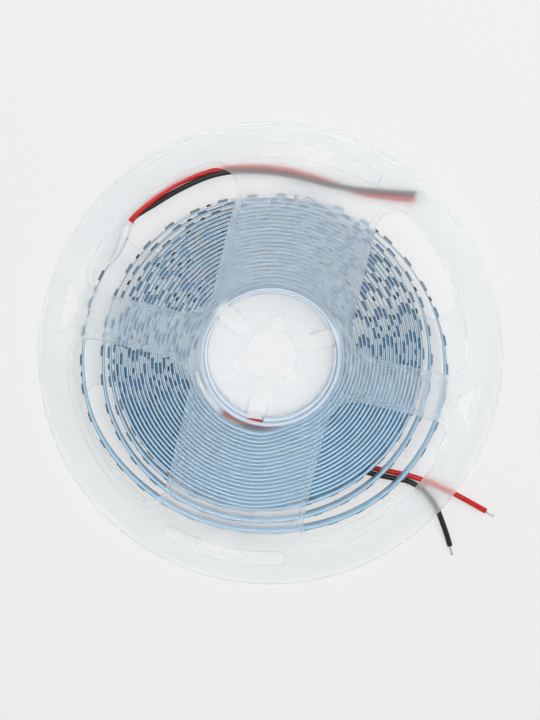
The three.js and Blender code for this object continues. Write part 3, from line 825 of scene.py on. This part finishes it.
def plate_wall(mesh, outline_at, bead_width, inner_face, facing):
    """A wall of a plate, from the foot of its bead over the bead and down to the inner face. The
    outline is asked for at a distance from the wall. Returns its outer and its inner loop."""
    outer_face = inner_face + facing * PLATE_THICKNESS
    profile = bead_profile(bead_width)
    top = outer_face + facing * profile[-1][1]
    loops = [
        add_loop(mesh, outline_at(bead_width - inward), outer_face + facing * rise)
        for inward, rise in profile
    ]
    loops += [
        add_loop(mesh, outline_at(EDGE_ROUNDING - inward), level)
        for inward, level in edge_down(top, inner_face)
    ]
    bridge_all(mesh, loops)
    return loops[0], loops[-1]


def build_plate(mesh, turn, inner_face, facing, outer_hub_loop, inner_hub_loop):
    """Flange plate with rounded beads and edges. The two hub loops are where its outer and its
    inner face end at the hub."""
    windows, others = flange_holes(turn)
    outlines = [
        (lambda distance: circle(FLANGE_RADIUS - distance, RIM_STEPS), RIM_BEAD_WIDTH),
        *((partial(grown, outline), WINDOW_BEAD_WIDTH) for outline in windows),
        *((partial(grown, outline), 0) for outline in others),
    ]
    walls = [plate_wall(mesh, at, width, inner_face, facing) for at, width in outlines]
    outer_loops, inner_loops = zip(*walls)
    fill(mesh, [*outer_loops, outer_hub_loop])
    fill(mesh, [*inner_loops, inner_hub_loop])


def hub_rings(mesh, profile, wall_from):
    """Rings of a turned profile of (radius, height) points, joined in order. From one ring on
    they form the hub's deep wall, with the second material."""
    rings = [add_loop(mesh, circle(radius, HUB_STEPS), z) for radius, z in profile]
    for i, (first, second) in enumerate(zip(rings, rings[1:])):
        bridge(mesh, first, second, 1 if i >= wall_from else 0)
    return rings


def radial_slot(width, inner_reach, outer_reach, angle):
    """Slot along a radius, with a round inner end."""
    half = width / 2
    points = [
        Vector((outer_reach, -half)),
        Vector((outer_reach, half)),
        *arc((inner_reach + half, 0), half, 90, 270, INNER_CORNER_STEPS),
    ]
    return turned(points, angle)


def cutter(outlines, bottom, top):
    """One mesh of prisms that cut a flange."""
    mesh = bmesh.new()
    for outline in outlines:
        low = add_loop(mesh, outline, bottom)
        high = add_loop(mesh, outline, top)
        bridge(mesh, low, high)
        mesh.faces.new(low[::-1])
        mesh.faces.new(high)
    return finish_mesh("cutter", mesh, [])


def cut(piece, tool):
    """Cuts a piece with a tool and deletes the tool."""
    modifier = piece.modifiers.new("cut", "BOOLEAN")
    modifier.operation = "DIFFERENCE"
    modifier.solver = "EXACT"
    modifier.object = tool
    bpy.context.view_layer.update()
    graph = bpy.context.evaluated_depsgraph_get()
    data = bpy.data.meshes.new_from_object(piece.evaluated_get(graph))
    piece.modifiers.clear()
    old = piece.data
    piece.data = data
    bpy.data.meshes.remove(old)
    bpy.data.objects.remove(tool)


def slot_angles(first):
    return [first + 360 / SLOT_COUNT * i for i in range(SLOT_COUNT)]


def wire_slot_outlines():
    return [
        radial_slot(WIRE_SLOT_WIDTH, WIRE_SLOT_REACH, DRUM_RADIUS + CUT_MARGIN, angle)
        for angle in slot_angles(FRONT_TURN - 90)
    ]


def make_front_flange(materials):
    """Front plate with the drum, which the wire slots cut below the plate."""
    mesh = bmesh.new()
    e = EDGE_ROUNDING
    bevel = e * 0.3
    drum_end = REAR_INNER_FACE + HUB_CLEARANCE
    rings = hub_rings(mesh, [
        (DRUM_RADIUS + 0.5, FRONT_OUTER_FACE), (DRUM_RADIUS + 0.15, FRONT_OUTER_FACE + 0.12),
        (DRUM_RADIUS, REEL_HEIGHT - e), (DRUM_RADIUS - bevel, REEL_HEIGHT - bevel),
        (DRUM_RADIUS - e, REEL_HEIGHT), (BORE_RADIUS + e, REEL_HEIGHT),
        (BORE_RADIUS + bevel, REEL_HEIGHT - bevel), (BORE_RADIUS, REEL_HEIGHT - e),
        (BORE_RADIUS, drum_end + e), (BORE_RADIUS + e, drum_end),
        (DRUM_RADIUS - e, drum_end), (DRUM_RADIUS, drum_end + e),
        (DRUM_RADIUS, FRONT_INNER_FACE - HUB_FILLET),
        (DRUM_RADIUS + 0.1, FRONT_INNER_FACE - 0.1),
        (DRUM_RADIUS + HUB_FILLET, FRONT_INNER_FACE),
    ], wall_from=2)
    build_plate(mesh, FRONT_TURN, FRONT_INNER_FACE, 1, rings[0], rings[-1])
    piece = finish_mesh("front_flange_moulding", mesh, materials)
    slot_top = FRONT_INNER_FACE - HUB_FILLET
    cut(piece, cutter(wire_slot_outlines(), REAR_INNER_FACE - CUT_MARGIN, slot_top))
    weigh_normals(piece)
    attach(piece, BODY)
    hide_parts("front_flange")


def make_rear_flange(materials):
    """Rear plate with the tube, and the web with the spindle hole, key slots and wire slots."""
    mesh = bmesh.new()
    e = EDGE_ROUNDING
    tube_top = REEL_HEIGHT - TUBE_RECESS
    web_top = REEL_HEIGHT - WEB_RECESS
    web_bottom = web_top - WEB_THICKNESS
    rings = hub_rings(mesh, [
        (TUBE_INNER_RADIUS + e, BEAD_HEIGHT), (TUBE_INNER_RADIUS, BEAD_HEIGHT + e),
        (TUBE_INNER_RADIUS, web_bottom - HUB_FILLET),
        (TUBE_INNER_RADIUS - HUB_FILLET, web_bottom),
        (SPINDLE_HOLE_RADIUS + e, web_bottom), (SPINDLE_HOLE_RADIUS, web_bottom + e),
        (SPINDLE_HOLE_RADIUS, web_top - e), (SPINDLE_HOLE_RADIUS + e, web_top),
        (TUBE_INNER_RADIUS - WEB_FILLET, web_top), (TUBE_INNER_RADIUS, web_top + WEB_FILLET),
        (TUBE_INNER_RADIUS, tube_top - e), (TUBE_INNER_RADIUS + e, tube_top),
        (TUBE_RADIUS - e, tube_top), (TUBE_RADIUS, tube_top - e),
        (TUBE_RADIUS, REAR_INNER_FACE + HUB_FILLET), (TUBE_RADIUS + HUB_FILLET, REAR_INNER_FACE),
    ], wall_from=9)
    build_plate(mesh, REAR_TURN, REAR_INNER_FACE, -1, rings[0], rings[-1])
    piece = finish_mesh("rear_flange_moulding", mesh, materials)
    keys = [
        radial_slot(KEY_SLOT_WIDTH, -KEY_SLOT_REACH, 0, angle + 180)
        for angle in slot_angles(FRONT_TURN + 90)
    ]
    slot_bottom = REAR_INNER_FACE + HUB_FILLET
    cut(piece, cutter(keys, web_bottom - CUT_MARGIN, web_top + CUT_MARGIN))
    cut(piece, cutter(wire_slot_outlines(), slot_bottom, REEL_HEIGHT + CUT_MARGIN))
    weigh_normals(piece)
    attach(piece, BODY)
    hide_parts("rear_flange")


MARK_SIDES = 6
MARK_STEPS = 40
MARK_HEIGHT = 0.1
MARK_SINK = EDGE_ROUNDING / 8

# Round marks left by the mould: (distance from the axis, angle, radius)
WEB_MARKS = [(11.3, 102, 2.2), (11.3, 46, 2.2), (11.2, 225, 2.2), (10.8, 287, 2.2)]
SPOKE_MARKS = [(45.8, 346.5, 1.9), (45.8, 346.5, 0.7)]


def make_marks(name, marks, level, material):
    """Low round ridges on a moulded face."""
    mesh = bmesh.new()
    for distance, angle, radius in marks:
        middle = on_circle(distance, angle)
        rings = []
        for k in range(MARK_SIDES):
            a = math.pi * k / (MARK_SIDES - 1)
            ring = circle(radius + MARK_HEIGHT * math.cos(a), MARK_STEPS, middle)
            rings.append(add_loop(mesh, ring, level + MARK_HEIGHT * math.sin(a) - MARK_SINK))
        bridge_all(mesh, [*rings, rings[0]])
    piece = finish_mesh(name, mesh, [material])
    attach(piece, BODY)


# Strip

def smoothstep(value, start, end):
    t = min(max((value - start) / (end - start), 0), 1)
    return t * t * (3 - 2 * t)


def bulge(angle):
    """Bulge of the roll over the strip's inner end, its sleeve and leads."""
    a = angle % 360
    return ROLL_BULGE * smoothstep(a, *BULGE_STARTS) * (1 - smoothstep(a, *BULGE_ENDS))


def loose_radius(angle):
    """Radius of a sprung outer turn, on a smooth line through the points of the table."""
    angles, radii = zip(*LOOSE_TURNS)
    last = next((i for i, a in enumerate(angles) if i and a >= angle), len(angles) - 1)
    start, end = radii[last - 1], radii[last]
    before = radii[last - 2] if last > 1 else start
    after = radii[last + 1] if last + 1 < len(radii) else end
    t = (angle - angles[last - 1]) / (angles[last] - angles[last - 1])
    return hermite(start, (end - before) / 2, end, (after - start) / 2, t)


def strip_radius(angle):
    """Radius of the strip's middle line at an angle along the winding."""
    if angle <= LOOSE_END:
        return loose_radius(angle)
    share = SLEEVE_LIFT / ROLL_BULGE if angle > INNER_END - 180 else 1
    return LOOSE_END_RADIUS - TURN_PITCH * (angle - LOOSE_END) / 360 + bulge(angle) * share


class Winding:
    """The strip's middle line from its outer end inwards, with the length run at each point."""

    def __init__(self):
        count = round((INNER_END - OUTER_END) / STRIP_STEP)
        self.angles = [OUTER_END + (INNER_END - OUTER_END) * i / count for i in range(count + 1)]
        self.points = [on_circle(strip_radius(a), a) for a in self.angles]
        self.runs = [0.0]
        for start, end in zip(self.points, self.points[1:]):
            self.runs.append(self.runs[-1] + (end - start).length)
        self.length = self.runs[-1]
        self.cursor = 0

    def place(self, run):
        """Point, direction along the strip and outward direction after a length of strip."""
        while self.cursor and self.runs[self.cursor] > run:
            self.cursor -= 1
        while self.runs[self.cursor + 1] < run:
            self.cursor += 1
        i = self.cursor
        share = (run - self.runs[i]) / (self.runs[i + 1] - self.runs[i])
        along = direction_at(self.points, i).lerp(direction_at(self.points, i + 1), share)
        along.normalize()
        return self.points[i].lerp(self.points[i + 1], share), along, Vector((along.y, -along.x))


def make_board(winding, materials):
    """Board and release tape in one ribbon: white outwards, blue inwards, and dark slate at the
    edges as a painted shade.
    """
    mesh = bmesh.new()
    half = STRIP_THICKNESS / 2
    section = [
        (half, STRIP_BOTTOM), (half, STRIP_TOP), (TAPE_THICKNESS - half, STRIP_TOP),
        (-half, STRIP_TOP), (-half, STRIP_BOTTOM), (TAPE_THICKNESS - half, STRIP_BOTTOM),
    ]
    face_materials = [0, 1, 2, 2, 2, 1]
    rings = []
    for i, point in enumerate(winding.points):
        along = direction_at(winding.points, i)
        outward = Vector((along.y, -along.x))
        ring = []
        for offset, z in section:
            place = point + outward * offset
            ring.append(mesh.verts.new((place.x * MM, place.y * MM, z * MM)))
        rings.append(ring)
    for first, second in zip(rings, rings[1:]):
        for k, face in enumerate(bridge(mesh, first, second)):
            face.material_index = face_materials[k]
            face.smooth = k in (0, 3)
    mesh.faces.new(rings[0])
    mesh.faces.new(rings[-1][::-1])
    piece = finish_mesh("strip_board", mesh, materials)
    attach(piece, BODY)
    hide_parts("led_strip")


def add_block(mesh, place, length, width, height, chamfer):
    """Block in the middle of a strip's place, with its outward edges chamfered."""
    rings = []
    for inset, z in ((0, 0), (0, height - chamfer), (chamfer, height)):
        x = length / 2 - inset
        y = width / 2 - inset
        corners = ((-x, -y), (x, -y), (x, y), (-x, y))
        rings.append([mesh.verts.new(place(x, y, z)) for x, y in corners])
    for first, second in zip(rings, rings[1:]):
        for face in bridge(mesh, first, second):
            face.smooth = False
    mesh.faces.new(rings[0][::-1])
    mesh.faces.new(rings[-1])


def strip_frame(winding, run):
    """Turns (along, across, outward) in mm at a place on the strip's outward face into metres."""
    point, along, outward = winding.place(run)

    def place(x, y, z):
        flat = point + along * x + outward * (STRIP_THICKNESS / 2 + z)
        return (flat.x * MM, flat.y * MM, (STRIP_MIDDLE + y) * MM)

    return place


def chip_runs(winding):
    """Where the chips sit along the strip, clear of the two sleeves."""
    runs = []
    run = SLEEVE_COVER + CHIP_PITCH / 2
    while run < winding.length - SLEEVE_COVER:
        runs.append(run)
        run += CHIP_PITCH
    return runs


def make_chips(winding, materials):
    """Chips: a case in a painted dark slate shade, with a round phosphor window."""
    mesh = bmesh.new()
    for run in chip_runs(winding):
        place = strip_frame(winding, run)
        add_block(mesh, place, CHIP_LENGTH, CHIP_WIDTH, CHIP_HEIGHT - LENS_RISE, CHIP_CHAMFER)
        turns = [2 * math.pi * k / LENS_SIDES for k in range(LENS_SIDES)]
        rim = [(LENS_RADIUS * math.cos(a), LENS_RADIUS * math.sin(a)) for a in turns]
        lens = [mesh.verts.new(place(x, y, CHIP_HEIGHT)) for x, y in rim]
        mesh.faces.new(lens).material_index = 1
    piece = finish_mesh("led_chips", mesh, materials)
    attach(piece, BODY)


def make_resistors(winding, materials):
    """One black resistor in each three-chip segment."""
    mesh = bmesh.new()
    size = (RESISTOR_LENGTH, RESISTOR_WIDTH, RESISTOR_HEIGHT)
    for run in chip_runs(winding)[::SEGMENT_CHIPS]:
        place = strip_frame(winding, run + CHIP_PITCH / 2)
        add_block(mesh, place, *size, RESISTOR_CHAMFER)
    piece = finish_mesh("strip_resistors", mesh, materials)
    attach(piece, BODY)


def make_pads(winding, materials):
    """Pairs of tinned pads at each cut line, each pair one rounded pad on either side of it."""
    mesh = bmesh.new()
    reach = PAD_REACH - PAD_HALF_WIDTH
    for run in chip_runs(winding)[SEGMENT_CHIPS::SEGMENT_CHIPS]:
        place = strip_frame(winding, run - CHIP_PITCH / 2)
        for side in (-PAD_OFFSET, PAD_OFFSET):
            outline = [
                *arc((reach, side), PAD_HALF_WIDTH, -90, 90, PAD_STEPS),
                *arc((-reach, side), PAD_HALF_WIDTH, 90, 270, PAD_STEPS),
            ]
            low = [mesh.verts.new(place(p.x, p.y, -PAD_SINK)) for p in outline]
            high = [mesh.verts.new(place(p.x, p.y, PAD_HEIGHT)) for p in outline]
            bridge(mesh, low, high)
            mesh.faces.new(low[::-1])
            mesh.faces.new(high)
    piece = finish_mesh("solder_pads", mesh, materials)
    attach(piece, BODY)


# Sleeves

def sleeve_ring(mesh, point, across, half, middle, tall):
    """One ring of a sleeve: a squarish oval, half across the strip and tall up its width."""
    ring = []
    across_power, up_power = SLEEVE_ROUNDNESS
    for k in range(SLEEVE_SECTION):
        a = 2 * math.pi * k / SLEEVE_SECTION
        c, s = math.cos(a), math.sin(a)
        side = math.copysign(abs(c) ** across_power, c) * half
        up = math.copysign(abs(s) ** up_power, s) * tall
        place = point + across * side
        ring.append(mesh.verts.new((place.x * MM, place.y * MM, (middle + up) * MM)))
    return ring


def make_sleeve(name, node, covered, lead_start, lead_direction, material):
    """Heat-shrink tube: thin over the strip, drawn in round the two leads at its other end."""
    goal = lead_start.xy
    mouth = goal + lead_direction * SLEEVE_OVER_LEADS
    points = smooth_path([*covered, goal, mouth], SLEEVE_SPAN_STEPS)
    outer = []
    inner = []
    mesh = bmesh.new()
    pair_half = PAIR_SPACING / 2 + LEAD_DIAMETER / 2 + SLEEVE_PAIR_MARGIN
    strip_half = STRIP_WIDTH / 2 + SLEEVE_SIDE_WALL
    for i, point in enumerate(points):
        along = direction_at(points, i)
        across = Vector((-along.y, along.x))
        grow = min(i / SLEEVE_STRIP_STEPS, 1)
        draw_in = smoothstep(i, SLEEVE_STRIP_STEPS, len(points) - 1)
        half = SLEEVE_START_HALF + (SLEEVE_END_HALF - SLEEVE_START_HALF) * grow
        tall = strip_half + (pair_half - strip_half) * draw_in
        middle = STRIP_MIDDLE + (lead_start.z - STRIP_MIDDLE) * draw_in
        outer.append(sleeve_ring(mesh, point, across, half, middle, tall))
        wall = SLEEVE_WALL
        inner.append(sleeve_ring(mesh, point, across, half - wall, middle, tall - wall))
    bridge_all(mesh, outer)
    bridge_all(mesh, inner)
    bridge(mesh, outer[0], inner[0])
    bridge(mesh, outer[-1], inner[-1])
    piece = finish_mesh(name, mesh, [material])
    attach(piece, BODY)
    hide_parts(node)


def covered_points(winding, from_outer_end):
    """Points of the strip at a sleeve's mouth, and halfway from there to the strip's end."""
    runs = (SLEEVE_COVER, SLEEVE_COVER / 2)
    if from_outer_end:
        return [winding.place(run)[0] for run in runs]
    return [winding.place(winding.length - run)[0] for run in runs]


# Everything, with the camera and the leads first

bpy.context.scene.view_settings.view_transform = "Standard"
make_camera()

red = insulation("red_insulation", (0.6, 0.016, 0.014), (0.5, 0.01, 0.01))
black = insulation("black_insulation", (0.022, 0.02, 0.022), (0.012, 0.011, 0.013))
tinned = solder()
inner_start = on_circle(strip_radius(INNER_END), INNER_START_ANGLE)
inner_route = [(inner_start.x, inner_start.y, *INNER_START), *INNER_ROUTE]
outer_red, outer_black = pair_points(OUTER_ROUTE)
inner_red, inner_black = pair_points(inner_route)
inner_red += end_points(INNER_RED_END)
inner_black += end_points(INNER_BLACK_END)
make_lead("outer_red", outer_red, red, tinned)
make_lead("outer_black", outer_black, black, tinned)
make_lead("inner_red", inner_red, red, tinned)
make_lead("inner_black", inner_black, black, tinned)

make_floor()
make_light()

frosted = frosted_plastic()
hub_wall = hub_wall_painted_glow()
make_rear_flange([frosted, hub_wall])
make_front_flange([frosted, hub_wall])
make_marks("web_marks", WEB_MARKS, REEL_HEIGHT - WEB_RECESS, frosted)
make_marks("spoke_mark", SPOKE_MARKS, FRONT_OUTER_FACE, frosted)

winding = Winding()
make_board(winding, [strip_board(), strip_edge_painted_shade(), release_tape()])
make_chips(winding, [chip_body_painted_shade(), phosphor()])
make_resistors(winding, [resistor_body()])
make_pads(winding, [tinned])

shrink = heat_shrink()
for name, node, route, at_outer_end in (
    ("outer_sleeve", "outer_heat_shrink", OUTER_ROUTE, True),
    ("inner_sleeve", "inner_heat_shrink", inner_route, False),
):
    x, y, rise, _ = route[0]
    start = Vector((x, y, LEAD_FLOOR + rise))
    direction = Vector((route[1][0] - x, route[1][1] - y)).normalized()
    make_sleeve(name, node, covered_points(winding, at_outer_end), start, direction, shrink)
